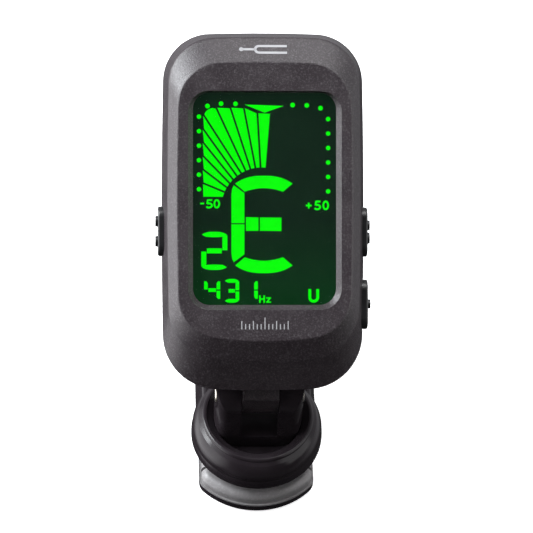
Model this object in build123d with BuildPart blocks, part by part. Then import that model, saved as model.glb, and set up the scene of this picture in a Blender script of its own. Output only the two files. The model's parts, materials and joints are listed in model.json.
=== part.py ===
"""Clip-on tuner: spring clip, swivel fork and tilting display head.

Millimetres.  The clip rests on z = 0, its swivel axis is the Z axis, the jaw tip
points to -Y and the head rises backwards over the clip.
"""

from build123d import *
import os

os.makedirs("parts", exist_ok=True)

# ---------------------------------------------------------------- clip dimensions
TIP_Y = -11.65
TIP_ARC = 12.6
JAW_HALF_W = 9.7
LEVER_END_Y = 38.0
PLATE_T = 1.7
PAD_TOP = 4.2
PAD_LIP = 0.35
PAD_END_Y = 12.5
PIVOT_Y = 20.0
PIVOT_Z = 6.5
PIVOT_PIN_R = 1.0
LUG_R = 3.1
UPPER_PAD_Z = 4.5
UPPER_Z = 6.4
DECK_Z = 11.4
RIM_Z = 12.4
RING_R = 10.95
RIM_R = 8.85
UPPER_HALF_W = 10.2

# ---------------------------------------------------------------- joint dimensions
SOCKET_R = 7.5
FORK_R = 7.42
BOWL_R = 5.2
BOWL_Z = 11.6
FLOOR_Z = 8.4
TILT_Z = 18.6
EAR_R = 4.0
SLOT_HALF = 3.12
KNUCKLE_HALF = 3.0
KNUCKLE_R = 3.25
TILT_PIN_R = 1.5
TILT_PIN_HALF = 7.4

# ---------------------------------------------------------------- head dimensions
HALF_W = 16.45
BOW = 0.4
V_LOW = 0.9
V_HIGH = 58.9
W_BACK = 4.2
W_PART = 9.7
W_WALL = 13.9
W_FRONT = 16.1
W_CEIL = 14.3
W_FLOOR = 6.2
GLASS_HALF = 11.42
GLASS_LOW = 14.9
GLASS_HIGH = 48.9
DOOR_HALF = 11.6
DOOR_LOW = 26.5
CELL_V = 38.0
CELL_R = 10.0
SCREWS = ((-10.5, 7.4), (10.5, 7.4), (-11.8, 53.4), (11.8, 53.4))
BOARD_HALF = 12.6

BUTTONS = ((-1, 26.7), (1, 26.6), (1, 14.85))
BUTTON_L = 8.1
BUTTON_W = 3.5

HEAD = Plane(origin=(0, 0, TILT_Z), x_dir=(1, 0, 0), z_dir=(0, -0.6, 0.8))
HEAD_W = Axis(HEAD.origin, HEAD.z_dir)


def save(piece, label):
    """Name a finished piece and write it to its own file."""
    piece.part.label = label
    export_step(piece.part, "parts/" + label + ".step")


def head_side(u):
    """Plane across the head at u, with local axes (v, w)."""
    here = HEAD.origin + HEAD.x_dir * u
    return Plane(origin=here, x_dir=HEAD.y_dir, z_dir=HEAD.x_dir)


def clip_side(x):
    """Upright plane across the clip at x, with local axes (y, z)."""
    return Plane(origin=(x, 0, 0), x_dir=(0, 1, 0), z_dir=(1, 0, 0))


# ================================================================ lower jaw
def jaw_plan(inset, end_y, end_r):
    """Plan outline of the lower jaw: shallow front arc and straight sides."""
    half = JAW_HALF_W - inset
    tip = TIP_Y + inset
    rise = TIP_ARC - (TIP_ARC**2 - half**2) ** 0.5
    with BuildSketch() as plan:
        with BuildLine():
            ThreePointArc((-half, tip + rise), (0, tip), (half, tip + rise))
            Line((half, tip + rise), (half, end_y))
            Line((half, end_y), (-half, end_y))
            Line((-half, end_y), (-half, tip + rise))
        make_face()
        fillet(plan.vertices().group_by(Axis.Y)[-1], end_r)
        fillet([v for v in plan.vertices() if v.Y < 0], 2.4)
    return plan.sketch_local


with BuildPart() as lower_jaw:
    with BuildSketch():
        add(jaw_plan(0, LEVER_END_Y, 6.0))
    extrude(amount=PLATE_T)
    fillet(faces().sort_by(Axis.Z)[0].edges(), 0.7)
    for side in (-1, 1):
        with BuildSketch(clip_side(side * 7.8)):
            with Locations((PIVOT_Y, PIVOT_Z)):
                Circle(LUG_R)
            with Locations((PIVOT_Y, (PIVOT_Z + PLATE_T) / 2)):
                Rectangle(2 * LUG_R, PIVOT_Z - PLATE_T + 0.6)
        extrude(amount=0.7, both=True)
    with BuildSketch(Plane.XY.offset(PLATE_T)):
        with Locations((0, 33.6)):
            SlotOverall(13, 6)
    extrude(amount=-0.5, mode=Mode.SUBTRACT)
    with BuildSketch(Plane.XY):
        with GridLocations(0, 1.9, 1, 5):
            with Locations((0, 31.5)):
                SlotOverall(12.5, 0.8)
    extrude(amount=0.45, mode=Mode.SUBTRACT)
    with BuildSketch(clip_side(0)):
        with Locations((PIVOT_Y, PIVOT_Z)):
            Circle(PIVOT_PIN_R)
    extrude(amount=10, both=True, mode=Mode.SUBTRACT)
save(lower_jaw, "lower_jaw")


def pad_body(inset, top, rounding):
    """Cushion of the lower pad, with rounded upper edges."""
    with BuildPart() as cushion:
        with BuildSketch(Plane.XY.offset(PLATE_T)):
            add(jaw_plan(inset, PAD_END_Y - inset, 1.5))
        extrude(amount=top - PLATE_T)
        fillet(cushion.faces().sort_by(Axis.Z)[-1].edges(), rounding)
    return cushion.part


with BuildPart() as pad_grooves:
    for number in range(8):
        with BuildSketch(clip_side(0)):
            with Locations((TIP_Y + 6.3 + 1.8 * number, PAD_TOP)):
                Rectangle(0.55, 2 * (PAD_TOP - PLATE_T - PAD_LIP))
        extrude(amount=12, both=True)
    add(pad_body(0.75, PAD_TOP - 0.4, 1.0), mode=Mode.SUBTRACT)

with BuildPart() as lower_pad:
    add(pad_body(0.35, PAD_TOP, 1.3))
    add(pad_grooves.part, mode=Mode.SUBTRACT)
    with BuildSketch(Plane.XY.offset(PLATE_T)):
        add(jaw_plan(0.05, PAD_END_Y, 1.5))
    extrude(amount=PAD_LIP)
save(lower_pad, "lower_pad")

with BuildPart() as jaw_pin:
    with BuildSketch(clip_side(-9.9)):
        with Locations((PIVOT_Y, PIVOT_Z)):
            Circle(PIVOT_PIN_R)
    extrude(amount=19.8)
    chamfer(edges().filter_by(GeomType.CIRCLE), 0.2)
save(jaw_pin, "jaw_pin")


# ================================================================ upper jaw
def upper_plan(inset):
    """Plan outline of the upper jaw: round nose and slightly tapering sides."""
    nose = RING_R - 0.7 - inset
    half = UPPER_HALF_W - inset
    with BuildSketch() as plan:
        with BuildLine():
            ThreePointArc((-nose, 0), (0, -nose), (nose, 0))
            Polyline((nose, 0), (half, 10), (half, 24.5), (-half, 24.5), (-half, 10), (-nose, 0))
        make_face()
    return plan.sketch_local


LEVER = Plane(origin=(0, 17.2, DECK_Z), x_dir=(1, 0, 0), z_dir=(0, -0.42262, 0.90631))

with BuildPart() as upper_jaw:
    with BuildSketch(Plane.XY.offset(UPPER_Z)):
        add(upper_plan(0))
    with BuildSketch(Plane.XY.offset(DECK_Z)):
        add(upper_plan(1.1))
    loft(ruled=True)
    fillet(faces().sort_by(Axis.Z)[-1].edges(), 0.7)
    with BuildSketch(Plane.XZ):
        with BuildLine():
            Polyline((0, UPPER_Z), (RING_R + 0.1, UPPER_Z))
            ThreePointArc((RING_R + 0.1, UPPER_Z), (RING_R + 0.12, UPPER_Z + 0.9), (RING_R, UPPER_Z + 1.8))
            ThreePointArc((RING_R, UPPER_Z + 1.8), (RING_R - 0.27, DECK_Z - 1.3), (RING_R - 1.0, DECK_Z))
            Line((RING_R - 1.0, DECK_Z), (RIM_R + 0.55, DECK_Z + 0.45))
            ThreePointArc((RIM_R + 0.55, DECK_Z + 0.45), (RIM_R + 0.42, RIM_Z - 0.18), (RIM_R, RIM_Z))
            Polyline((RIM_R, RIM_Z), (0, RIM_Z), (0, UPPER_Z))
        make_face()
    revolve(axis=Axis.Z)
    with BuildSketch(LEVER):
        with BuildLine():
            Polyline((-9.1, 0), (9.1, 0), (8.3, 21.5), (-8.3, 21.5), (-9.1, 0))
        make_face()
        fillet(vertices().group_by(Axis.Y)[-1], 5.5)
    extrude(amount=-2.4)
    fillet(faces().sort_by(Axis.Z)[-1].edges().group_by(Axis.Y)[-1], 0.5)
    for side in (-1, 1):
        with BuildSketch(clip_side(side * 9.4)):
            with Locations((PIVOT_Y, PIVOT_Z)):
                Circle(LUG_R)
            Polygon((14, 9), (14, 6.4), (20, 3.6), (25, 7), (28, 13.6), (20, 11), align=None)
        extrude(amount=0.75, both=True)
    with BuildSketch(clip_side(0)):
        Polygon((12.8, 5), (12.8, 9.9), (18, 9.9), (24.4, 12.0), (27, 5), align=None)
    extrude(amount=8.62, both=True, mode=Mode.SUBTRACT)
    with BuildSketch(LEVER.offset(-0.2)):
        with GridLocations(0, 2.0, 1, 5):
            with Locations((0, 14.5)):
                SlotOverall(12.5, 1.0)
    extrude(amount=0.75)
    with BuildSketch(Plane.XZ):
        with BuildLine():
            Line((0, FLOOR_Z), (BOWL_R + 0.08, FLOOR_Z))
            ThreePointArc((BOWL_R + 0.08, FLOOR_Z), (6.93, 9.68), (SOCKET_R, BOWL_Z))
            Polyline((SOCKET_R, BOWL_Z), (RIM_R - 0.25, RIM_Z - 0.12), (RIM_R, 13))
            Polyline((RIM_R, 13), (0, 13), (0, FLOOR_Z))
        make_face()
    revolve(axis=Axis.Z, mode=Mode.SUBTRACT)
    with BuildSketch(Plane.XY.offset(UPPER_Z - 1)):
        Circle(5.0)
    extrude(amount=2.2, mode=Mode.SUBTRACT)
    with BuildSketch(Plane.XY.offset(7)):
        Circle(3.1)
    extrude(amount=2, mode=Mode.SUBTRACT)
    with BuildSketch(clip_side(0)):
        with Locations((PIVOT_Y, PIVOT_Z)):
            Circle(PIVOT_PIN_R + 0.05)
    extrude(amount=12, both=True, mode=Mode.SUBTRACT)
save(upper_jaw, "upper_jaw")

with BuildPart() as upper_pad:
    with BuildSketch(Plane.XY.offset(UPPER_PAD_Z)):
        add(upper_plan(1.0))
        with Locations((0, 20)):
            Rectangle(30, 15.6, mode=Mode.SUBTRACT)
    extrude(amount=UPPER_Z - UPPER_PAD_Z)
    fillet(faces().sort_by(Axis.Z)[0].edges(), 0.4)
    for number in range(8):
        with BuildSketch(clip_side(0)):
            with Locations((TIP_Y + 5.4 + 1.8 * number, UPPER_PAD_Z)):
                Rectangle(0.7, 0.8)
        extrude(amount=12, both=True, mode=Mode.SUBTRACT)
save(upper_pad, "upper_pad")

COIL_R = 2.1
WIRE_R = 0.4
COIL_PITCH = 0.9
COIL_HALF = 2.25

with BuildPart() as jaw_spring:
    with BuildLine() as coil_line:
        coil = Helix(COIL_PITCH, 2 * COIL_HALF, COIL_R, (-COIL_HALF, PIVOT_Y, PIVOT_Z), (1, 0, 0))
    with BuildSketch(Plane(origin=coil @ 0, z_dir=coil % 0)):
        Circle(WIRE_R)
    sweep(path=coil_line.line, is_frenet=True)
    for end_x, start_z, tip_y, tip_z in (
        (-COIL_HALF, PIVOT_Z + COIL_R, 28.0, 13.3),
        (COIL_HALF, PIVOT_Z - COIL_R, 27.0, 2.63),
    ):
        start = Vector(end_x, PIVOT_Y, start_z)
        tip = Vector(end_x, tip_y, tip_z)
        with BuildSketch(Plane(origin=start, z_dir=tip - start)):
            Circle(WIRE_R)
        extrude(amount=(tip - start).length)
        with Locations(start):
            Sphere(WIRE_R)
save(jaw_spring, "jaw_spring")

# ================================================================ swivel and tilt joint
with BuildPart() as swivel_fork:
    with BuildSketch(Plane.XZ):
        with BuildLine():
            Line((0, FLOOR_Z + 0.1), (BOWL_R, FLOOR_Z + 0.1))
            ThreePointArc((BOWL_R, FLOOR_Z + 0.1), (6.85, 9.78), (FORK_R, BOWL_Z))
            Polyline((FORK_R, BOWL_Z), (FORK_R, TILT_Z + EAR_R), (0, TILT_Z + EAR_R), (0, FLOOR_Z + 0.1))
        make_face()
    revolve(axis=Axis.Z)
    with BuildSketch(Plane.XY.offset(FLOOR_Z)) as ear_plan:
        Circle(FORK_R)
        Rectangle(4 * EAR_R, 2 * EAR_R, mode=Mode.INTERSECT)
        fillet(ear_plan.vertices(), 1.6)
    extrude(amount=TILT_Z, mode=Mode.INTERSECT)
    with BuildSketch(clip_side(0)):
        with Locations((0, TILT_Z)):
            Circle(EAR_R)
        with Locations((0, (TILT_Z + FLOOR_Z) / 2)):
            Rectangle(2 * EAR_R, TILT_Z - FLOOR_Z)
    extrude(amount=10, both=True, mode=Mode.INTERSECT)
    with BuildSketch(clip_side(0)):
        with Locations((0, DECK_Z + 10)):
            Rectangle(20, 20)
    extrude(amount=SLOT_HALF, both=True, mode=Mode.SUBTRACT)
    with BuildSketch(Plane.XY.offset(7.5)):
        Circle(3.02)
    extrude(amount=1.2)
    with BuildSketch(clip_side(0)):
        with Locations((0, TILT_Z)):
            Circle(TILT_PIN_R)
    extrude(amount=10, both=True, mode=Mode.SUBTRACT)
    for side in (-1, 1):
        with BuildSketch(clip_side(side * 6.2)):
            with Locations((0, TILT_Z)):
                Circle(TILT_PIN_R + 1.0)
        extrude(amount=side * 3, mode=Mode.SUBTRACT)
    with BuildSketch(Plane.XY.offset(7.5)):
        Circle(0.9)
    extrude(amount=3.2, mode=Mode.SUBTRACT)
save(swivel_fork, "swivel_fork")

with BuildPart() as tilt_pin:
    with BuildSketch(clip_side(0)):
        with Locations((0, TILT_Z)):
            Circle(TILT_PIN_R)
    extrude(amount=TILT_PIN_HALF, both=True)
    fillet(edges().filter_by(GeomType.CIRCLE), 0.3)
save(tilt_pin, "tilt_pin")

with BuildPart() as swivel_washer:
    with BuildSketch(Plane.XY.offset(7.0)):
        Circle(4.3)
        Circle(1.15, mode=Mode.SUBTRACT)
    extrude(amount=0.5)
save(swivel_washer, "swivel_washer")

with BuildPart() as swivel_screw:
    with BuildSketch(Plane.XY.offset(7.0)):
        Circle(0.9)
    extrude(amount=3.6)
    with BuildSketch(Plane.XY.offset(6.45)):
        Circle(2.1)
    extrude(amount=0.55)
    with BuildSketch(Plane.XY.offset(6.45)):
        Rectangle(2.2, 0.45)
        Rectangle(0.45, 2.2)
    extrude(amount=0.35, mode=Mode.SUBTRACT)
save(swivel_screw, "swivel_screw")


# ================================================================ head shells
def head_outline(half, low, high, crown_low, crown_high, r_low, r_high, bow=0.01):
    """Rounded outline with bowed ends and sides, in head axes."""
    end = half - bow
    middle = (low + high) / 2
    with BuildSketch() as outline:
        with BuildLine():
            ThreePointArc((-end, low + crown_low), (0, low), (end, low + crown_low))
            ThreePointArc((end, low + crown_low), (half, middle), (end, high - crown_high))
            ThreePointArc((end, high - crown_high), (0, high), (-end, high - crown_high))
            ThreePointArc((-end, high - crown_high), (-half, middle), (-end, low + crown_low))
        make_face()
        fillet([v for v in outline.vertices() if v.Y < 20], r_low)
        fillet([v for v in outline.vertices() if v.Y > 20], r_high)
    return outline.sketch_local


def front_skin():
    """Outer body of the front half: sloping wall, then a bevel up to the flat face."""
    with BuildPart() as skin:
        with BuildSketch(HEAD.offset(W_PART)):
            add(head_outline(HALF_W, V_LOW, V_HIGH, 0.7, 0.5, 9.0, 7.8, BOW))
        with BuildSketch(HEAD.offset(W_WALL)):
            add(head_outline(15.6, 5.8, 57.95, 0.9, 0.5, 8.6, 7.6, BOW))
        loft(ruled=True)
        with BuildSketch(HEAD.offset(W_WALL)):
            add(head_outline(15.6, 5.8, 57.95, 0.9, 0.5, 8.6, 7.6, BOW))
        with BuildSketch(HEAD.offset(W_FRONT)):
            add(head_outline(14.15, 9.0, 53.75, 1.7, 0.5, 7.2, 7.2, BOW))
        loft(ruled=True)
        fillet(skin.edges().filter_by_position(HEAD_W, W_WALL - 0.01, W_WALL + 0.01), 0.8)
    return skin.part


def rear_skin():
    """Outer body of the rear half, with rounded back edges."""
    with BuildPart() as skin:
        with BuildSketch(HEAD.offset(W_PART)):
            add(head_outline(HALF_W, V_LOW, V_HIGH, 0.7, 0.5, 9.0, 7.8, BOW))
        with BuildSketch(HEAD.offset(W_BACK)):
            add(head_outline(HALF_W - 0.5, V_LOW + 0.5, V_HIGH - 0.5, 0.7, 0.5, 8.8, 7.6, BOW))
        loft(ruled=True)
        fillet(skin.edges().group_by(HEAD_W)[0], 1.6)
    return skin.part


def button_slots(extra):
    """Three stadium bars crossing the side walls where the buttons sit."""
    with BuildPart() as slots:
        for side, middle in BUTTONS:
            with BuildSketch(head_side(side * 13.0)):
                with Locations((middle, W_PART)):
                    SlotOverall(BUTTON_L + 2 * extra, BUTTON_W + 2 * extra)
            extrude(amount=side * 6)
    return slots.part


def head_block(u0, u1, v0, v1, w0, w1, corner=0.0):
    """Rectangular block in head axes, with optional rounded upright corners."""
    with BuildPart() as block:
        with BuildSketch(HEAD.offset(w0)):
            with Locations(((u0 + u1) / 2, (v0 + v1) / 2)):
                if corner > 0:
                    RectangleRounded(u1 - u0, v1 - v0, corner)
                else:
                    Rectangle(u1 - u0, v1 - v0)
        extrude(amount=w1 - w0)
    return block.part


def head_round(u, v, radius, w0, w1):
    """Round post or plug in head axes."""
    with BuildPart() as post:
        with BuildSketch(HEAD.offset(w0)):
            with Locations((u, v)):
                Circle(radius)
        extrude(amount=w1 - w0)
    return post.part


with BuildPart() as front_shell:
    add(front_skin())
    fillet(edges().group_by(HEAD_W)[-1], 0.45)
    with BuildSketch(HEAD.offset(W_PART)):
        add(head_outline(14.2, 3.2, 56.6, 0.7, 0.5, 6.5, 5.8))
    with BuildSketch(HEAD.offset(W_CEIL)):
        add(head_outline(13.9, 8.5, 55.0, 0.9, 0.5, 5.6, 5.4))
    loft(ruled=True, mode=Mode.SUBTRACT)
    for u, v in SCREWS:
        add(head_round(u, v, 1.9, W_PART, 12.4))
    add(front_skin(), mode=Mode.INTERSECT)
    for u, v in SCREWS:
        add(head_round(u, v, 0.75, W_PART, 11.9), mode=Mode.SUBTRACT)
    add(head_block(-12.2, 12.2, 14.1, 49.7, W_CEIL - 0.1, 15.1, 2.9), mode=Mode.SUBTRACT)
    with BuildSketch(HEAD.offset(15.0)):
        with Locations((0, (GLASS_LOW + GLASS_HIGH) / 2)):
            RectangleRounded(2 * GLASS_HALF, GLASS_HIGH - GLASS_LOW, 2.6)
    with BuildSketch(HEAD.offset(W_FRONT + 0.1)):
        with Locations((0, (GLASS_LOW + GLASS_HIGH - 0.7) / 2)):
            RectangleRounded(2 * GLASS_HALF + 2.0, GLASS_HIGH - GLASS_LOW + 1.2, 3.5)
    loft(ruled=True, mode=Mode.SUBTRACT)
    add(button_slots(0.12), mode=Mode.SUBTRACT)
save(front_shell, "front_shell")

with BuildPart() as rear_shell:
    add(rear_skin())
    with BuildSketch(HEAD.offset(W_FLOOR)):
        add(head_outline(14.2, 3.2, 56.6, 0.7, 0.5, 6.5, 5.8))
    extrude(amount=5, mode=Mode.SUBTRACT)
    for u, v in SCREWS:
        add(head_round(u, v, 2.0, W_FLOOR - 0.5, W_PART))
    add(head_round(0, CELL_V, CELL_R + 1.1, W_FLOOR - 0.5, 9.0))
    add(head_round(0, CELL_V, CELL_R + 0.3, W_BACK, W_PART), mode=Mode.SUBTRACT)
    add(head_block(-3.2, 3.2, 46.5, 50.5, W_FLOOR, W_PART), mode=Mode.SUBTRACT)
    add(head_block(-DOOR_HALF - 0.1, DOOR_HALF + 0.1, DOOR_LOW - 0.1, 60, 3, 5.3), mode=Mode.SUBTRACT)
    add(head_block(-DOOR_HALF - 0.9, DOOR_HALF + 0.9, DOOR_LOW - 0.1, 60, 4.8, 5.3), mode=Mode.SUBTRACT)
    for u, v in SCREWS:
        add(head_round(u, v, 0.95, 3, W_PART), mode=Mode.SUBTRACT)
        add(head_round(u, v, 1.9, 3, 6.7), mode=Mode.SUBTRACT)
    for side in (-1, 1):
        for low in (32.5, 42.5):
            add(head_block(side * 13.7 - 0.4, side * 13.7 + 0.4, low, low + 7, 8.2, 10.5))
        add(head_block(side * 14.25 - 0.2, side * 14.25 + 0.2, 33, 49, 8.2, W_PART))
    with BuildSketch(head_side(0)):
        with BuildLine():
            CenterArc((0, 0), KNUCKLE_R, 0, 360)
            Line((-1.0, 5.0), (8.2, 5.0))
        make_hull()
    extrude(amount=KNUCKLE_HALF, both=True)
    with BuildSketch(head_side(0)):
        Circle(TILT_PIN_R + 0.05)
    extrude(amount=10, both=True, mode=Mode.SUBTRACT)
    add(button_slots(0.12), mode=Mode.SUBTRACT)
save(rear_shell, "rear_shell")


def door_block():
    """Plate with thin side rails from which the battery door is cut."""
    with BuildPart() as plate:
        add(head_block(-DOOR_HALF, DOOR_HALF, DOOR_LOW, 60, 3, 5.2))
        add(head_block(-DOOR_HALF - 0.8, DOOR_HALF + 0.8, DOOR_LOW, 60, 4.9, 5.2))
    return plate.part


with BuildPart() as battery_door:
    add(rear_skin())
    add(door_block(), mode=Mode.INTERSECT)
    for number in range(6):
        v = DOOR_LOW + 3.0 + 1.3 * number
        half = 5.0 - 0.7 * number
        add(head_block(-half, half, v, v + 0.6, 3.9, W_BACK + 0.35), mode=Mode.SUBTRACT)
save(battery_door, "battery_door")

with BuildPart() as shell_screws:
    for u, v in SCREWS:
        add(head_round(u, v, 0.75, 6.0, 11.8))
        add(head_round(u, v, 1.6, 5.6, 6.7))
        add(head_block(u - 0.8, u + 0.8, v - 0.18, v + 0.18, 5.5, 6.0), mode=Mode.SUBTRACT)
        add(head_block(u - 0.18, u + 0.18, v - 0.8, v + 0.8, 5.5, 6.0), mode=Mode.SUBTRACT)
save(shell_screws, "shell_screws")

# ================================================================ display stack
with BuildPart() as display_lens:
    add(head_block(-12.1, 12.1, 14.2, 49.6, W_CEIL, 15.1, corner=2.8))
save(display_lens, "display_lens")

with BuildPart() as lcd_panel:
    add(head_block(-12.2, 12.2, 13.4, 49.9, 12.5, 14.2))
save(lcd_panel, "lcd_panel")

with BuildPart() as lcd_frame:
    add(head_block(-12.9, 12.9, 12.5, 50.7, 11.6, 13.9, corner=0.8))
    add(head_block(-12.25, 12.25, 13.2, 50.0, 11.5, 14.0), mode=Mode.SUBTRACT)
save(lcd_frame, "lcd_frame")

with BuildPart() as backlight_panel:
    add(head_block(-12.0, 12.0, 15.4, 49.8, 11.6, 12.4))
save(backlight_panel, "backlight_panel")

with BuildPart() as zebra_connector:
    add(head_block(-10.5, 10.5, 13.5, 15.1, 11.4, 12.5))
save(zebra_connector, "zebra_connector")

# ================================================================ electronics
with BuildPart() as circuit_board:
    add(head_block(-BOARD_HALF, BOARD_HALF, 9.6, 50.4, 10.4, 11.4, corner=1.5))
    add(head_round(-11.0, 11.6, 0.6, 10, 12), mode=Mode.SUBTRACT)
    add(head_round(11.0, 48.6, 0.6, 10, 12), mode=Mode.SUBTRACT)
save(circuit_board, "circuit_board")

with BuildPart() as controller_chip:
    add(head_block(-3.5, 3.5, 17.5, 24.5, 9.1, 10.25))
    chamfer(edges().group_by(HEAD_W)[0], 0.25)
    for number in range(8):
        step = -2.8 + 0.8 * number
        add(head_block(-4.4, 4.4, 20.85 + step, 21.15 + step, 10.1, 10.4))
        add(head_block(step - 0.15, step + 0.15, 16.6, 25.4, 10.1, 10.4))
save(controller_chip, "controller_chip")

with BuildPart() as board_parts:
    for u, v in ((-7.5, 12.5), (-7.5, 15.0), (-7.5, 17.5), (7.2, 19.5), (7.2, 22.0)):
        add(head_block(u - 0.8, u + 0.8, v - 0.4, v + 0.4, 9.7, 10.4))
    add(head_block(5.2, 9.4, 11.2, 12.8, 9.0, 10.4, corner=0.7))
save(board_parts, "board_parts")

with BuildPart() as tact_switches:
    for side, middle in BUTTONS:
        inner = 9.6 * side
        outer = 12.2 * side
        add(head_block(min(inner, outer), max(inner, outer), middle - 3, middle + 3, 8.4, 10.4))
        with BuildSketch(head_side(outer)):
            with Locations((middle, W_PART)):
                SlotOverall(2.6, 1.1)
        extrude(amount=side * 0.4)
save(tact_switches, "tact_switches")

with BuildPart() as piezo_disc:
    add(head_round(0, 14.5, 6.0, W_FLOOR, 6.4))
    add(head_round(0, 14.5, 4.2, 6.4, 6.6))
save(piezo_disc, "piezo_disc")

with BuildPart() as piezo_wires:
    for u, start_v, start_w, end_u in ((1.0, 14.5, 6.75, 1.2), (5.2, 14.5, 6.55, 3.2)):
        ends = HEAD.from_local_coords((u, start_v, start_w)), HEAD.from_local_coords((end_u, 11, 10.38))
        bends = HEAD.from_local_coords((u, 12, 8.6)), HEAD.from_local_coords((end_u, 10.6, 9.2))
        with BuildLine() as wire_line:
            Bezier(ends[0], bends[0], bends[1], ends[1])
        with BuildSketch(Plane(origin=wire_line.line @ 0, z_dir=wire_line.line % 0)):
            Circle(0.13)
        sweep(path=wire_line.line)
save(piezo_wires, "piezo_wires")

# ================================================================ power
with BuildPart() as battery:
    add(head_round(0, CELL_V, CELL_R, 5.75, 8.6))
    fillet(edges().group_by(HEAD_W)[0], 0.3)
    add(head_round(0, CELL_V, CELL_R - 1.2, 8.6, 8.75))
save(battery, "battery")

with BuildPart() as battery_contact_negative:
    with BuildSketch(head_side(-2.0)):
        with BuildLine():
            Polyline((26.5, 10.4), (29.5, 10.4), (37, 8.95), (39.5, 8.95), (40.2, 9.3))
            Polyline((40.2, 9.3), (40.05, 9.44), (39.4, 9.15), (37.0, 9.15))
            Polyline((37.0, 9.15), (31.0, 10.2), (26.5, 10.2), (26.5, 10.4))
        make_face()
    extrude(amount=4.0)
save(battery_contact_negative, "battery_contact_negative")

with BuildPart() as battery_contact_positive:
    add(head_block(-2.5, 2.5, 48.02, 48.22, 6.6, 10.4))
    add(head_block(-2.5, 2.5, 48.22, 50.0, 10.2, 10.4))
save(battery_contact_positive, "battery_contact_positive")


# ================================================================ side buttons
def side_button(side, middle, proud, ribs, rib_proud):
    """Stadium cap with raised bars and a flange that keeps it inside the shell."""
    with BuildPart() as button:
        with BuildSketch(head_side(side * 13.3)):
            with Locations((middle, W_PART)):
                SlotOverall(BUTTON_L, BUTTON_W)
        extrude(amount=side * (HALF_W + proud - 13.3))
        outer = faces().sort_by(Axis.X)[-1 if side > 0 else 0]
        fillet(outer.edges(), 0.3)
        flange = side * 13.5
        add(head_block(flange - 0.38, flange + 0.38, middle - 4.8, middle + 4.8, 8.2, 11.1))
        for low, high in ribs:
            with BuildSketch(head_side(side * (HALF_W + proud - 0.3))):
                with Locations((middle + (low + high) / 2, W_PART)):
                    SlotOverall(BUTTON_W - 0.5, high - low, rotation=90)
            extrude(amount=side * (rib_proud - proud + 0.3))
    return button.part


with BuildPart() as left_button:
    add(side_button(-1, 26.7, 0.6, ((-2.5, -0.75), (0.75, 2.5)), 1.0))
save(left_button, "left_button")

with BuildPart() as upper_right_button:
    add(side_button(1, 26.6, 0.55, ((-1.9, -0.1), (0.3, 1.9)), 0.9))
save(upper_right_button, "upper_right_button")

with BuildPart() as lower_right_button:
    add(side_button(1, 14.85, 0.6, ((-0.7, 0.8),), 1.0))
save(lower_right_button, "lower_right_button")
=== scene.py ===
"""Clip-on tuner: materials, display graphics, printed marks, light and camera."""

import json
import math

import bmesh
import bpy
from mathutils import Matrix, Vector


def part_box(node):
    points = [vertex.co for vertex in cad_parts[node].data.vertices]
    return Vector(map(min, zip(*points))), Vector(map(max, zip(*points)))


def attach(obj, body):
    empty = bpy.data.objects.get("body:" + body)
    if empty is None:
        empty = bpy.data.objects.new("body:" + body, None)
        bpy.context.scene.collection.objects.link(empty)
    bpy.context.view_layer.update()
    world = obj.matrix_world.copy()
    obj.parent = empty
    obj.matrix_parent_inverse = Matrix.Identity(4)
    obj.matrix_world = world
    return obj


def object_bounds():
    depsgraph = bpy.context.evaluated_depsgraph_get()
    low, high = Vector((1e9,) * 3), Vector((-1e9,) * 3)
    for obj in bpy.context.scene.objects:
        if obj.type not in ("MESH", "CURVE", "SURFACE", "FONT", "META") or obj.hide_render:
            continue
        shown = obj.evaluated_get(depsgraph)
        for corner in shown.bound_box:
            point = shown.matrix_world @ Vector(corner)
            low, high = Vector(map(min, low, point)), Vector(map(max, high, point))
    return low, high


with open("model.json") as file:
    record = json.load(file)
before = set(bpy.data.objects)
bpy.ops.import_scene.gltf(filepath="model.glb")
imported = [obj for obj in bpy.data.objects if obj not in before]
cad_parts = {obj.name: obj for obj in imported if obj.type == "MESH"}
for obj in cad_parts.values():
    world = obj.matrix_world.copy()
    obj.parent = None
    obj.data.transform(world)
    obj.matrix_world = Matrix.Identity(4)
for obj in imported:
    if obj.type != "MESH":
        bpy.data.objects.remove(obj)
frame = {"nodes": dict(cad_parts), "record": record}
cad_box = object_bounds()
joints = {j["name"]: j for j in frame["record"]["behaviour"]["joints"]}

# head axes: u across, v up the head, w out of the display
U = Vector((1, 0, 0))
V = Vector(joints["battery_door_slide"]["axis"]).normalized()
W = U.cross(V)
PIN = Vector(joints["head_tilt"]["pos_m"])
MM = 0.001


def head_point(u, v, w):
    return PIN + (U * u + V * v + W * w) * MM


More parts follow.
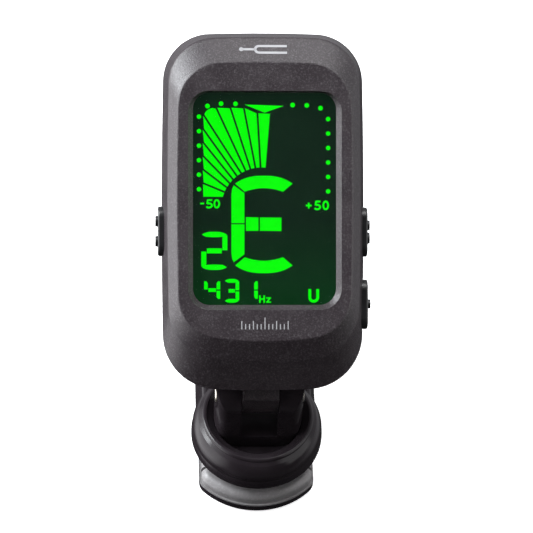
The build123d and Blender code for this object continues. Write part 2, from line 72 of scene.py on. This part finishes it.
# ---------------------------------------------------------------- node helpers
class Nodes:
    """A material's node tree with short calls for the nodes used here."""

    def __init__(self, name):
        self.mat = bpy.data.materials.new(name)
        self.mat.use_nodes = True
        self.tree = self.mat.node_tree
        self.tree.nodes.clear()
        self.out = self.tree.nodes.new("ShaderNodeOutputMaterial")
        self.bsdf = self.tree.nodes.new("ShaderNodeBsdfPrincipled")
        self.link(self.bsdf.outputs[0], self.out.inputs[0])
        self.coord = self.tree.nodes.new("ShaderNodeTexCoord")

    def link(self, a, b):
        self.tree.links.new(a, b)

    def set(self, **values):
        for key, value in values.items():
            self.bsdf.inputs[key.replace("_", " ")].default_value = value

    def noise(self, scale, detail=2.0, rough=0.5, stretch=(1, 1, 1)):
        mapping = self.tree.nodes.new("ShaderNodeMapping")
        mapping.inputs["Scale"].default_value = stretch
        self.link(self.coord.outputs["Object"], mapping.inputs["Vector"])
        node = self.tree.nodes.new("ShaderNodeTexNoise")
        node.inputs["Scale"].default_value = scale
        node.inputs["Detail"].default_value = detail
        node.inputs["Roughness"].default_value = rough
        self.link(mapping.outputs[0], node.inputs["Vector"])
        return node.outputs["Fac"]

    def ramp(self, source, low, high, a=0.3, b=0.7):
        node = self.tree.nodes.new("ShaderNodeValToRGB")
        node.color_ramp.elements[0].position = a
        node.color_ramp.elements[0].color = (*low, 1)
        node.color_ramp.elements[1].position = b
        node.color_ramp.elements[1].color = (*high, 1)
        self.link(source, node.inputs[0])
        return node.outputs[0]

    def spread(self, source, low, high):
        node = self.tree.nodes.new("ShaderNodeMapRange")
        node.inputs["From Min"].default_value = 0.3
        node.inputs["From Max"].default_value = 0.7
        node.inputs["To Min"].default_value = low
        node.inputs["To Max"].default_value = high
        self.link(source, node.inputs["Value"])
        return node.outputs[0]

    def bump(self, source, strength, distance, onto=None):
        node = self.tree.nodes.new("ShaderNodeBump")
        node.inputs["Strength"].default_value = strength
        node.inputs["Distance"].default_value = distance
        self.link(source, node.inputs["Height"])
        if onto is not None:
            self.link(onto, node.inputs["Normal"])
        return node.outputs[0]


def plastic(name, low, high, rough, grain, grain_depth, patch=260.0, speck=0.0, specular=0.5):
    """Moulded plastic or rubber: fine grain, pale specks, slight tone drift and uneven gloss."""
    n = Nodes(name)
    fine = n.noise(grain, 3.0, 0.6)
    drift = n.noise(patch, 3.0)
    tone = n.ramp(drift, low, high)
    flecks = n.ramp(n.noise(grain * 0.7, 2.0, 0.7), (0, 0, 0), (speck, speck * 0.96, speck), 0.5, 0.8)
    mix = n.tree.nodes.new("ShaderNodeVectorMath")
    n.link(tone, mix.inputs[0])
    n.link(flecks, mix.inputs[1])
    n.link(mix.outputs[0], n.bsdf.inputs["Base Color"])
    n.link(n.spread(drift, rough - 0.04, rough + 0.05), n.bsdf.inputs["Roughness"])
    first = n.bump(fine, 0.5, grain_depth)
    n.link(n.bump(drift, 0.15, 0.00004, first), n.bsdf.inputs["Normal"])
    n.set(Specular_IOR_Level=specular)
    return n.mat


def metal(name, low, high, rough, stretch=(1, 1, 1)):
    """Turned or drawn metal with fine tool lines."""
    n = Nodes(name)
    lines = n.noise(2600.0, 3.0, 0.6, stretch)
    n.link(n.ramp(lines, low, high), n.bsdf.inputs["Base Color"])
    n.link(n.spread(lines, rough - 0.06, rough + 0.08), n.bsdf.inputs["Roughness"])
    n.link(n.bump(lines, 0.25, 0.00001), n.bsdf.inputs["Normal"])
    n.set(Metallic=1.0)
    return n.mat


def glow(name, colour, strength):
    """Lit display ink with a faint mottling."""
    n = Nodes(name)
    mottle = n.noise(900.0, 2.0)
    low = tuple(c * 0.93 for c in colour)
    n.link(n.ramp(mottle, low, colour), n.bsdf.inputs["Emission Color"])
    n.set(Base_Color=(0, 0.02, 0, 1), Roughness=0.5)
    n.set(Emission_Strength=strength, Specular_IOR_Level=0.1)
    return n.mat


SHELL = plastic(
    "shell_plastic", (0.016, 0.0115, 0.0142), (0.023, 0.0175, 0.0205), 0.35, 5200.0, 0.00012, speck=0.06
)
CLIP = plastic(
    "clip_plastic", (0.012, 0.0093, 0.0112), (0.017, 0.0137, 0.016), 0.19, 2200.0, 0.000008, specular=0.2
)
BUTTON = plastic("button_plastic", (0.008, 0.008, 0.009), (0.013, 0.013, 0.014), 0.33, 4000.0, 0.00002)
PAD = plastic("pad_rubber", (0.13, 0.125, 0.126), (0.17, 0.164, 0.166), 0.42, 3600.0, 0.00004, speck=0.06)
WHITE = plastic("white_plastic", (0.72, 0.71, 0.68), (0.8, 0.79, 0.76), 0.5, 3000.0, 0.00001)
CHIP = plastic("chip_epoxy", (0.012, 0.012, 0.012), (0.02, 0.02, 0.02), 0.5, 5000.0, 0.00002)
SWITCH = plastic("switch_plastic", (0.05, 0.05, 0.05), (0.07, 0.07, 0.07), 0.45, 3000.0, 0.00001)
BOARD = plastic("board_mask", (0.006, 0.075, 0.02), (0.01, 0.11, 0.03), 0.3, 1500.0, 0.00001)
ZEBRA = plastic("zebra_rubber", (0.2, 0.07, 0.06), (0.3, 0.12, 0.1), 0.6, 3000.0, 0.00002)
WIRE = plastic("wire_cover", (0.35, 0.01, 0.01), (0.45, 0.02, 0.02), 0.35, 3000.0, 0.000005)
PRINT = plastic("printed_ink", (0.26, 0.26, 0.27), (0.30, 0.30, 0.31), 0.5, 3500.0, 0.00001)
STEEL = metal("pin_steel", (0.62, 0.58, 0.50), (0.78, 0.73, 0.64), 0.28, (0.2, 3, 3))
SPRING = metal("spring_steel", (0.45, 0.45, 0.46), (0.6, 0.6, 0.61), 0.3)
BRASS = metal("piezo_brass", (0.7, 0.48, 0.2), (0.82, 0.6, 0.3), 0.3)
CELL = metal("cell_steel", (0.6, 0.6, 0.6), (0.75, 0.75, 0.74), 0.22)
GREEN = glow("display_green", (0.0, 1.0, 0.0), 1.0)


def lens_material():
    """Clear window: a faint tint, tiny surface waviness."""
    n = Nodes("clear_window")
    wave = n.noise(120.0, 1.0)
    n.link(n.ramp(wave, (0.9, 0.97, 0.93), (0.94, 1.0, 0.96)), n.bsdf.inputs["Base Color"])
    n.link(n.bump(wave, 0.02, 0.00002), n.bsdf.inputs["Normal"])
    n.set(Roughness=0.02, IOR=1.2, Transmission_Weight=1.0, Specular_IOR_Level=0.22)
    return n.mat


def lcd_material():
    """Dark display glass with a faint painted glow in place of light through the window, greener towards
    the bottom edge and darker above as painted shade from the recess wall.
    """
    n = Nodes("lcd_dark")
    split = n.tree.nodes.new("ShaderNodeSeparateXYZ")
    n.link(n.coord.outputs["Object"], split.inputs[0])
    low, high = (corner.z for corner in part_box("lcd_panel"))
    # mask for the painted shade: 0 at the bottom edge, 1 from 45% of the way up
    painted_shade_fade = n.tree.nodes.new("ShaderNodeMapRange")
    painted_shade_fade.inputs["From Min"].default_value = low
    painted_shade_fade.inputs["From Max"].default_value = low + 0.45 * (high - low)
    n.link(split.outputs["Z"], painted_shade_fade.inputs["Value"])
    # painted glow in place of light through the window; the darker upper part is painted shade under the
    # recess's upper wall
    painted_glow_and_shade = n.ramp(painted_shade_fade.outputs[0], (0.0015, 0.030, 0.006), (0.004, 0.012, 0.007), 0.0, 1.0)
    n.link(painted_glow_and_shade, n.bsdf.inputs["Emission Color"])
    n.set(Base_Color=(0.004, 0.008, 0.005, 1), Roughness=0.25)
    n.set(Emission_Strength=1.0, Specular_IOR_Level=0.1)
    return n.mat


LENS = lens_material()
LCD = lcd_material()

FINISH = {
    "shell_black": SHELL,
    "clip_black": CLIP,
    "button_black": BUTTON,
    "pad_grey": PAD,
    "steel": STEEL,
    "spring_steel": SPRING,
    "clear_lens": LENS,
    "lcd_glass": LCD,
    "white_plastic": WHITE,
    "connector_rubber": ZEBRA,
    "board": BOARD,
    "chip_black": CHIP,
    "switch_body": SWITCH,
    "brass": BRASS,
    "wire_red": WIRE,
    "cell_can": CELL,
}

for part in frame["record"]["subparts"]:
    node = frame["nodes"][part["node"]]
    node.data.materials.clear()
    node.data.materials.append(FINISH[part["material_slot"]])


# ---------------------------------------------------------------- flat inked shapes
def plate(name, outlines, place, thickness, material, body):
    """One thin object made of flat outlines; place(x, y, h) maps millimetres to the row frame."""
    mesh = bpy.data.meshes.new(name)
    bm = bmesh.new()
    for outline in outlines:
        lower = [bm.verts.new(place(x, y, 0.0)) for x, y in outline]
        upper = [bm.verts.new(place(x, y, thickness)) for x, y in outline]
        bm.faces.new(upper)
        bm.faces.new(list(reversed(lower)))
        for i in range(len(outline)):
            j = (i + 1) % len(outline)
            bm.faces.new((lower[i], lower[j], upper[j], upper[i]))
    bm.normal_update()
    many = [f for f in bm.faces if len(f.verts) > 4]
    bmesh.ops.triangulate(bm, faces=many, ngon_method="EAR_CLIP")
    bmesh.ops.recalc_face_normals(bm, faces=bm.faces)
    bm.to_mesh(mesh)
    bm.free()
    mesh.materials.append(material)
    piece = bpy.data.objects.new(name, mesh)
    bpy.context.collection.objects.link(piece)
    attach(piece, body)
    return piece


def disc(x, y, r, count=28):
    turns = [2 * math.pi * i / count for i in range(count)]
    return [(x + r * math.cos(t), y + r * math.sin(t)) for t in turns]


def arc(x, y, r, start, stop, count=16, ry=None):
    """Points on an arc from start to stop degrees."""
    ry = r if ry is None else ry
    turns = [math.radians(start + (stop - start) * i / count) for i in range(count + 1)]
    return [(x + r * math.cos(t), y + ry * math.sin(t)) for t in turns]


def stroke(points, width):
    """Outline of a line of constant width along points."""
    points = [p for i, p in enumerate(points) if i == 0 or math.dist(p, points[i - 1]) > 1e-4]
    left, right = [], []
    for i, (x, y) in enumerate(points):
        ax, ay = points[max(i - 1, 0)]
        bx, by = points[min(i + 1, len(points) - 1)]
        direction = Vector((bx - ax, by - ay)).normalized()
        side = Vector((-direction.y, direction.x)) * width / 2
        if 0 < i < len(points) - 1:
            before = Vector((x - ax, y - ay)).normalized()
            side *= 1 / max(abs(before.dot(direction)), 0.5)
        left.append((x + side.x, y + side.y))
        right.append((x - side.x, y - side.y))
    return left + right[::-1]


def shift(outline, dx, dy):
    return [(x + dx, y + dy) for x, y in outline]


def mirrored(outline, axis_y):
    return [(x, 2 * axis_y - y) for x, y in outline][::-1]


def along(node, axis):
    """Distances in millimetres of a node's corners from the tilt pin, measured along an axis."""
    placed = frame["nodes"][node]
    return [(placed.matrix_world @ v.co - PIN).dot(axis) / MM for v in placed.data.vertices]


# ---------------------------------------------------------------- display graphics
LCD_TOP = max(along("lcd_panel", W))
MID_V = (max(along("display_lens", V)) + min(along("display_lens", V))) / 2
INK = 0.03
INK_GAP = 0.02


def on_display(x, y, h):
    """A point just above the display glass; x and y start at the window's middle."""
    return head_point(x, MID_V + y, LCD_TOP + INK_GAP + h)


def lit(name, outlines):
    return plate(name, outlines, on_display, INK, GREEN, "head")


# scale dots down both sides and over the top, and the marker in the middle
DOT_STEP = 2.33
TOP_LEFT_DOTS = ((-9.15, 14.86), (-6.97, 15.26), (-4.65, 15.24))
TOP_RIGHT_DOTS = ((4.56, 15.07), (6.84, 15.02), (9.05, 14.58))

dots = []
for i in range(6):
    dots.append(disc(-10.52, 13.15 - DOT_STEP * i, 0.36))
    dots.append(disc(10.28, 12.83 - DOT_STEP * i, 0.36))
for x, y in TOP_LEFT_DOTS + TOP_RIGHT_DOTS:
    dots.append(disc(x, y, 0.38))
lit("scale_dots", dots)
lit("centre_marker", [[(-3.2, 15.12), (3.1, 14.92), (0.05, 13.82)]])

# tuning fan: sectors between an arc below and a straight-edged frame
FAN_X = -0.38
FAN_Y = -1.55
FAN_R = 6.57
FAN_START = 163.9
FAN_STEP = 7.18
FAN_SECTORS = 11
FAN_GAP = 0.15


def fan_outer(i):
    """Point where sector line i meets the fan's outer frame."""
    left = [(-9.82, 0.30 + 2.17 * k) for k in range(6)]
    top = [(-9.72, 13.35), (-7.72, 14.52), (-5.45, 14.55), (-3.3, 14.52), (-1.12, 13.72), (0.9, 13.65)]
    return Vector((left + top)[i])


def fan_inner(i):
    """Point where sector line i meets the fan's inner arc."""
    turn = math.radians(FAN_START - FAN_STEP * i)
    return Vector((FAN_X + FAN_R * math.cos(turn), FAN_Y + FAN_R * math.sin(turn)))


def fan_sector(i):
    """Outline of one sector, drawn in from its two lines by the gap except at the fan's ends."""
    a, b, c, d = fan_outer(i), fan_outer(i + 1), fan_inner(i + 1), fan_inner(i)
    low_line = (a - d).normalized()
    high_line = (b - c).normalized()
    low_gap = FAN_GAP if i > 0 else 0.0
    high_gap = FAN_GAP if i < FAN_SECTORS - 1 else 0.0
    low_side = Vector((low_line.y, -low_line.x)) * low_gap
    high_side = Vector((-high_line.y, high_line.x)) * high_gap
    corner = arc(-8.2, 13.0, 1.55, 158, 96, 8) if i == 6 else []
    ends = [tuple(b + high_side), tuple(c + high_side), tuple(d + low_side)]
    return [tuple(a + low_side), *corner, *ends]


lit("tuning_fan", [fan_sector(i) for i in range(FAN_SECTORS)])


def bow(x0, x1, y, depth, sag, tip):
    """Curved segment bar with pointed ends, bowed away from the middle line."""
    mid = (x0 + x1) / 2
    half = (x1 - x0) / 2
    inner_half = half - tip
    rising = [k / 10 - 1 for k in range(21)]
    falling = [1 - k / 6 for k in range(13)]
    outer = [(mid + half * t, y + sag * (1 - abs(t) ** 2.6)) for t in rising]
    inner = [(mid + inner_half * t, y - depth + 0.45 * sag * (1 - t * t)) for t in falling]
    return outer + inner


def lens_bar(x0, x1, top, t):
    """Bar with both ends pointed and a softly bowed top, t thick."""
    mid = (x0 + x1) / 2
    half = (x1 - x0) / 2
    inner_half = half - 0.8 * t
    rising = [i / 8 - 1 for i in range(17)]
    falling = [1 - i / 5 for i in range(11)]
    outer = [(mid + half * k, top - 0.55 * t * abs(k) ** 3) for k in rising]
    inner = [(mid + inner_half * k, top - t - 0.08 * t * (1 - k * k)) for k in falling]
    return outer + inner


# big note letter: two bowed bars, two stems and a split middle bar
top_bar = bow(-4.72, 4.55, 2.42, 1.32, 1.26, 1.55)
NOTE_MIDDLE = -4.16
upper_stem = [(-4.93, 2.15), (-5.2, 1.55), (-5.31, 0.7), (-5.31, -3.95), (-3.21, -3.95), (-3.21, 0.88)]
lit(
    "note_letter",
    [
        top_bar,
        mirrored(top_bar, NOTE_MIDDLE),
        upper_stem,
        mirrored(upper_stem, NOTE_MIDDLE + 0.12),
        [(-2.97, -2.98), (-0.96, -3.02), (-0.96, -5.18), (-2.97, -5.2)],
        [(-0.72, -3.02), (2.75, -3.06), (2.75, -5.22), (-0.72, -5.18)],
    ],
)


def seven(segments, x, y, w, h, t):
    """Seven-segment digit with its lower left corner at x, y; segment letters a to g."""
    gap = 0.08
    foot = 0.1
    middle = y + h / 2
    top = y + h
    right = x + w
    bars = {
        "a": lens_bar(x + gap, right - gap, top, t),
        "g": [
            (x + t + gap, middle + t / 2),
            (right - t - gap, middle + t / 2),
            (right - t - gap, middle - t / 2),
            (x + t + gap, middle - t / 2),
        ],
        "b": [
            (right - t, middle + foot),
            (right, middle + foot),
            (right, top - 0.7 * t),
            (right - t * 0.55, top - 0.6 * t),
            (right - t, top - 1.15 * t),
        ],
        "f": [
            (x, middle + foot),
            (x + t, middle + foot),
            (x + t, top - 1.15 * t),
            (x + 0.55 * t, top - 0.6 * t),
            (x, top - 0.7 * t),
        ],
    }
    bars["d"] = mirrored(bars["a"], middle)
    bars["c"] = mirrored(bars["b"], middle)
    bars["e"] = mirrored(bars["f"], middle)
    return [bars[s] for s in segments]


lit("octave_digit", seven("abged", -10.15, -11.48, 4.2, 6.15, 0.82))
lit(
    "pitch_digits",
    seven("fbgc", -9.7, -16.5, 2.6, 3.6, 0.6)
    + seven("abgcd", -6.45, -16.75, 2.4, 3.85, 0.6)
    + seven("bc", -3.3, -16.5, 2.25, 3.6, 0.6),
)


def letter(kind, x, y, w, h, t):
    """Small sans letter or sign drawn with strokes; x, y is its lower left corner."""
    r = t / 2
    if kind == "0":
        loop = arc(x + w / 2, y + h / 2, w / 2 - r, 90, 450, 28, h / 2 - r)
        return [stroke(loop[:15], t), stroke(loop[14:], t)]
    if kind == "5":
        bowl = arc(x + w / 2 - r * 0.4, y + h * 0.33, w / 2 - r * 0.6, 125, -150, 20, h * 0.33 - r)
        return [
            stroke([(x + w - r * 0.6, y + h - r), (x + r * 1.5, y + h - r)], t),
            stroke([(x + r * 2.2, y + h - r * 0.5), (x + r * 1.3, y + h * 0.5)], t * 0.95),
            stroke(bowl, t),
        ]
    if kind == "-":
        return [stroke([(x, y + h / 2), (x + w, y + h / 2)], t)]
    if kind == "+":
        return [
            stroke([(x, y + h / 2), (x + w, y + h / 2)], t),
            stroke([(x + w / 2, y + h / 2 - w / 2), (x + w / 2, y + h / 2 + w / 2)], t),
        ]
    if kind == "H":
        return [
            stroke([(x + r, y), (x + r, y + h)], t),
            stroke([(x + w - r, y), (x + w - r, y + h)], t),
            stroke([(x + r, y + h / 2), (x + w - r, y + h / 2)], t),
        ]
    if kind == "z":
        return [
            stroke([(x, y + h - r), (x + w, y + h - r)], t),
            stroke([(x + w - r * 1.3, y + h - r), (x + r * 1.3, y + r)], t),
            stroke([(x, y + r), (x + w, y + r)], t),
        ]
    cup = [(x + r, y + h), (x + r, y + w / 2)] + arc(x + w / 2, y + w / 2, w / 2 - r, 180, 360, 16)
    return [stroke(cup + [(x + w - r, y + h)], t)]


lit(
    "scale_labels",
    letter("-", -10.32, -1.55, 0.62, 1.5, 0.26)
    + letter("5", -9.42, -1.6, 1.12, 1.5, 0.3)
    + letter("0", -8.2, -1.6, 1.08, 1.52, 0.3)
    + letter("+", 6.68, -1.85, 0.95, 1.5, 0.28)
    + letter("5", 8.02, -1.85, 1.12, 1.55, 0.3)
    + letter("0", 9.35, -1.85, 1.08, 1.57, 0.3),
)
lit(
    "unit_label",
    letter("H", -0.85, -16.75, 0.95, 1.2, 0.27) + letter("z", 0.28, -16.75, 0.8, 0.88, 0.22),
)
lit("mode_letter", letter("U", 7.08, -16.75, 1.75, 2.2, 0.48))


# ---------------------------------------------------------------- printed marks on the shell
FACE_W = max(along("front_shell", W))
FACE_LOW = min(
    v for v, w in zip(along("front_shell", V), along("front_shell", W)) if w > FACE_W - 0.01
)

# the bevel above the display, as v and w of its inner and outer edge
BEVEL_IN = Vector((53.75, 16.1))
BEVEL_OUT = Vector((57.95, 13.9))
BEVEL_MIDDLE = (BEVEL_IN + BEVEL_OUT) / 2
UP_SLOPE = (BEVEL_OUT - BEVEL_IN).normalized()
OFF_SLOPE = Vector((-UP_SLOPE.y, UP_SLOPE.x))
PRINT_LIFT = 0.01
PRINT_SINK = 0.015
PRINT_T = 0.02


def on_bevel(x, y, h):
    """A point on the sloping strip above the display; y runs up the slope."""
    v, w = BEVEL_MIDDLE + UP_SLOPE * y + OFF_SLOPE * (h + PRINT_LIFT)
    return head_point(x, v, w)


def on_face(x, y, h):
    """A point on the flat face round the window; y is measured from the tilt pin."""
    return head_point(x, y, FACE_W + h - PRINT_SINK)


fork = [
    stroke([(3.6, 0.62), (-0.9, 0.62)] + arc(-0.9, 0.0, 0.62, 90, 270, 14) + [(3.6, -0.62)], 0.42),
    stroke([(-1.4, 0.0), (-3.7, 0.0)], 0.42),
    disc(-3.75, 0.0, 0.36),
]
plate("tuning_fork_mark", fork, on_bevel, PRINT_T, PRINT, "head")

TICK_STEP = 0.62
TICK_BASE = FACE_LOW + 1.85

ticks = []
for i in range(-6, 7):
    tall = 1.9 if i == 0 else (1.35 if i % 3 == 0 else 0.85)
    tick = stroke([(TICK_STEP * i, 0.0), (TICK_STEP * i, tall)], 0.16)
    ticks.append(shift(tick, 0.0, TICK_BASE))
plate("tick_mark", ticks, on_face, PRINT_T, PRINT, "head")

# ---------------------------------------------------------------- floor
floor_mesh = bpy.data.meshes.new("floor")
floor_bm = bmesh.new()
bmesh.ops.create_grid(floor_bm, x_segments=1, y_segments=1, size=4.0)
floor_bm.to_mesh(floor_mesh)
floor_bm.free()
floor = bpy.data.objects.new("floor", floor_mesh)
floor.location.z = cad_box[0].z - 0.0002
bpy.context.collection.objects.link(floor)
floor.visible_glossy = False
floor.visible_diffuse = False
pale = Nodes("pale_floor")
pale_tone = pale.ramp(pale.noise(3.0), (0.86, 0.86, 0.86), (0.88, 0.88, 0.88))
pale.link(pale_tone, pale.bsdf.inputs["Base Color"])
pale.set(Roughness=0.9, Emission_Color=(1, 1, 1, 1), Emission_Strength=0.7)
floor_mesh.materials.append(pale.mat)

# ---------------------------------------------------------------- surrounding light
world = bpy.data.worlds.new("studio")
world.use_nodes = True
sky = world.node_tree
sky_coord = sky.nodes.new("ShaderNodeTexCoord")


def sky_ramp(source, stops):
    """Grey ramp over a value; stops are (position, level)."""
    node = sky.nodes.new("ShaderNodeValToRGB")
    ramp = node.color_ramp
    while len(ramp.elements) < len(stops):
        ramp.elements.new(0.5)
    for element, (place, level) in zip(ramp.elements, stops):
        element.position = place
        element.color = (level, level, level * 1.02, 1)
    sky.links.new(source, node.inputs[0])
    return node.outputs[0]


def sky_math(operation, a, b):
    node = sky.nodes.new("ShaderNodeVectorMath")
    node.operation = operation
    for socket, value in zip(node.inputs, (a, b)):
        if isinstance(value, bpy.types.NodeSocket):
            sky.links.new(value, socket)
        else:
            socket.default_value = value
    return node


def sky_facing(direction):
    """0 to 1 as the view turns from away from a direction to straight along it."""
    turned = sky_math("DOT_PRODUCT", sky_coord.outputs["Generated"], direction * 0.5)
    lifted = sky.nodes.new("ShaderNodeMath")
    sky.links.new(turned.outputs["Value"], lifted.inputs[0])
    lifted.inputs[1].default_value = 0.5
    return lifted.outputs[0]


# dark in front of the display and below, bright behind, with a glow on the left
upward = sky_facing(Vector((0, 0, 1)))
around = sky_ramp(sky_facing((W - V + U * 0.25).normalized()), ((0.55, 0.95), (0.81, 0.012)))
above = sky_ramp(upward, ((0.2, 0.03), (0.33, 1.0)))
below = sky_ramp(upward, ((0.15, 0.02), (0.27, 0.16), (0.36, 0.02), (0.5, 0.0)))
left = sky_ramp(sky_facing(-U), ((0.84, 0.0), (0.95, 4.5)))
lit_sky = sky_math("ADD", sky_math("MULTIPLY", around, above).outputs[0], below).outputs[0]
lit_sky = sky_math("ADD", lit_sky, left).outputs[0]
sky.links.new(lit_sky, sky.nodes["Background"].inputs[0])
sky.nodes["Background"].inputs[1].default_value = 0.8
bpy.context.scene.world = world

# ---------------------------------------------------------------- lamps and camera
TARGET = head_point(0.61, 20.99, 9.7)


def softbox(name, offset, size, power, tint=(1, 1, 1)):
    """Rectangular area light aimed at the head; offset and size in metres, offset along U, V, W."""
    data = bpy.data.lights.new(name, "AREA")
    data.shape = "RECTANGLE"
    data.size, data.size_y = size
    data.energy = power
    data.color = tint
    light = bpy.data.objects.new(name, data)
    aim = U * offset[0] + V * offset[1] + W * offset[2]
    light.location = TARGET + aim
    light.rotation_mode = "QUATERNION"
    light.rotation_quaternion = aim.to_track_quat("Z", "Y")
    bpy.context.collection.objects.link(light)


softbox("key_light", (-0.72, 0.48, 0.36), (0.5, 0.6), 19.0, (0.93, 0.97, 1.0))
softbox("side_light", (0.72, -0.05, 0.42), (0.75, 0.8), 3.4)
softbox("top_light", (0.25, 0.8, 0.6), (0.7, 0.35), 5.5)

DISTANCE = 450 * MM
VIEW_WIDTH = 86.6125 * MM
YAW = math.radians(3.3)
away = (W * math.cos(YAW) - U * math.sin(YAW)).normalized()
right = V.cross(away).normalized()
camera_data = bpy.data.cameras.new("camera")
camera_data.sensor_width = 36.0
camera_data.lens = camera_data.sensor_width * DISTANCE / VIEW_WIDTH
camera_data.clip_start = 0.01
camera = bpy.data.objects.new("camera", camera_data)
bpy.context.collection.objects.link(camera)
turn = Matrix((right, V, away)).transposed().to_4x4()
camera.matrix_world = Matrix.Translation(TARGET + away * DISTANCE) @ turn
bpy.context.scene.camera = camera
bpy.context.scene.view_settings.view_transform = "Standard"
